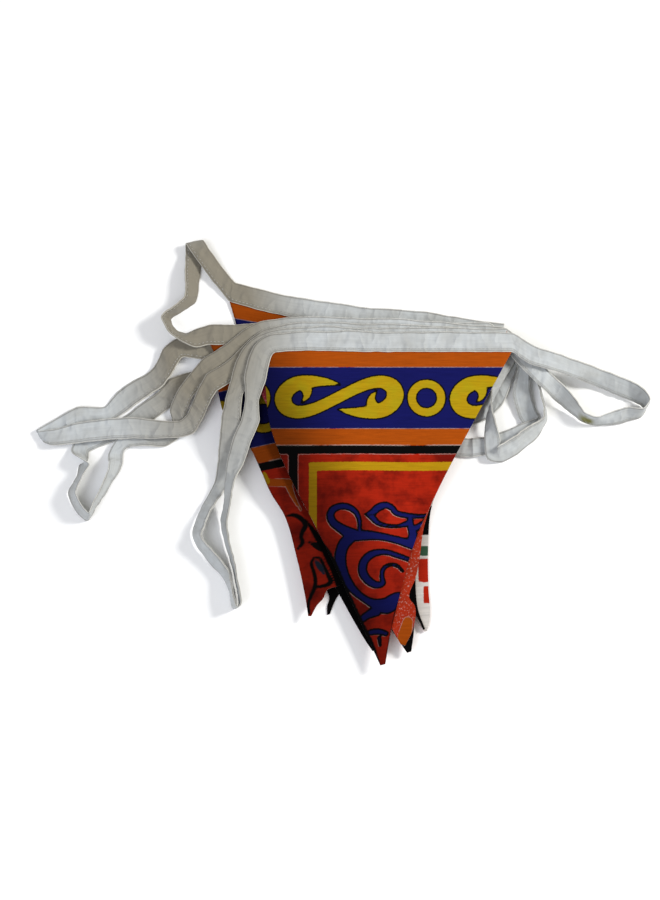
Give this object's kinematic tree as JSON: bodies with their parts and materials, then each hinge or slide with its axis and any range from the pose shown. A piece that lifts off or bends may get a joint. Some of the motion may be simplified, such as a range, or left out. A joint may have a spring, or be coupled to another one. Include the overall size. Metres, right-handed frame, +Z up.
{
  "type": "folded string of cotton bunting pennants",
  "caption": "String of printed cotton bunting pennants on a folded white tape, concertina-folded into a slightly fanned bundle and laid flat.",
  "frame": {"origin": "on the table, on the underside of the lowest pennant below its tape, where the cloth rests flat", "axes": "+Z up from the table, +Y from the pennants' tips towards the folded tape, +X to the right as seen from above with the tips at the bottom"},
  "size_m": [0.4439, 0.317, 0.0229],
  "materials": {
    "printed_cotton": "matte plain-woven printed cotton",
    "white_cotton_tape": "matte folded cotton tape, stitched"
  },
  "bodies": {
    "root": {"pennant_1": "printed_cotton", "pennant_2": "printed_cotton", "pennant_3": "printed_cotton", "pennant_4": "printed_cotton", "pennant_5": "printed_cotton", "pennant_6": "printed_cotton", "pennant_7": "printed_cotton", "pennant_8": "printed_cotton", "tape_heading_1": "white_cotton_tape", "tape_heading_2": "white_cotton_tape", "tape_heading_3": "white_cotton_tape", "tape_heading_4": "white_cotton_tape", "tape_heading_5": "white_cotton_tape", "tape_heading_6": "white_cotton_tape", "tape_heading_7": "white_cotton_tape", "tape_heading_8": "white_cotton_tape", "tape_loop_left_1": "white_cotton_tape", "tape_loop_left_2": "white_cotton_tape", "tape_loop_left_3": "white_cotton_tape", "tape_loop_left_4": "white_cotton_tape", "tape_loop_right_1": "white_cotton_tape", "tape_loop_right_2": "white_cotton_tape", "tape_loop_right_3": "white_cotton_tape"}
  },
  "joints": []
}
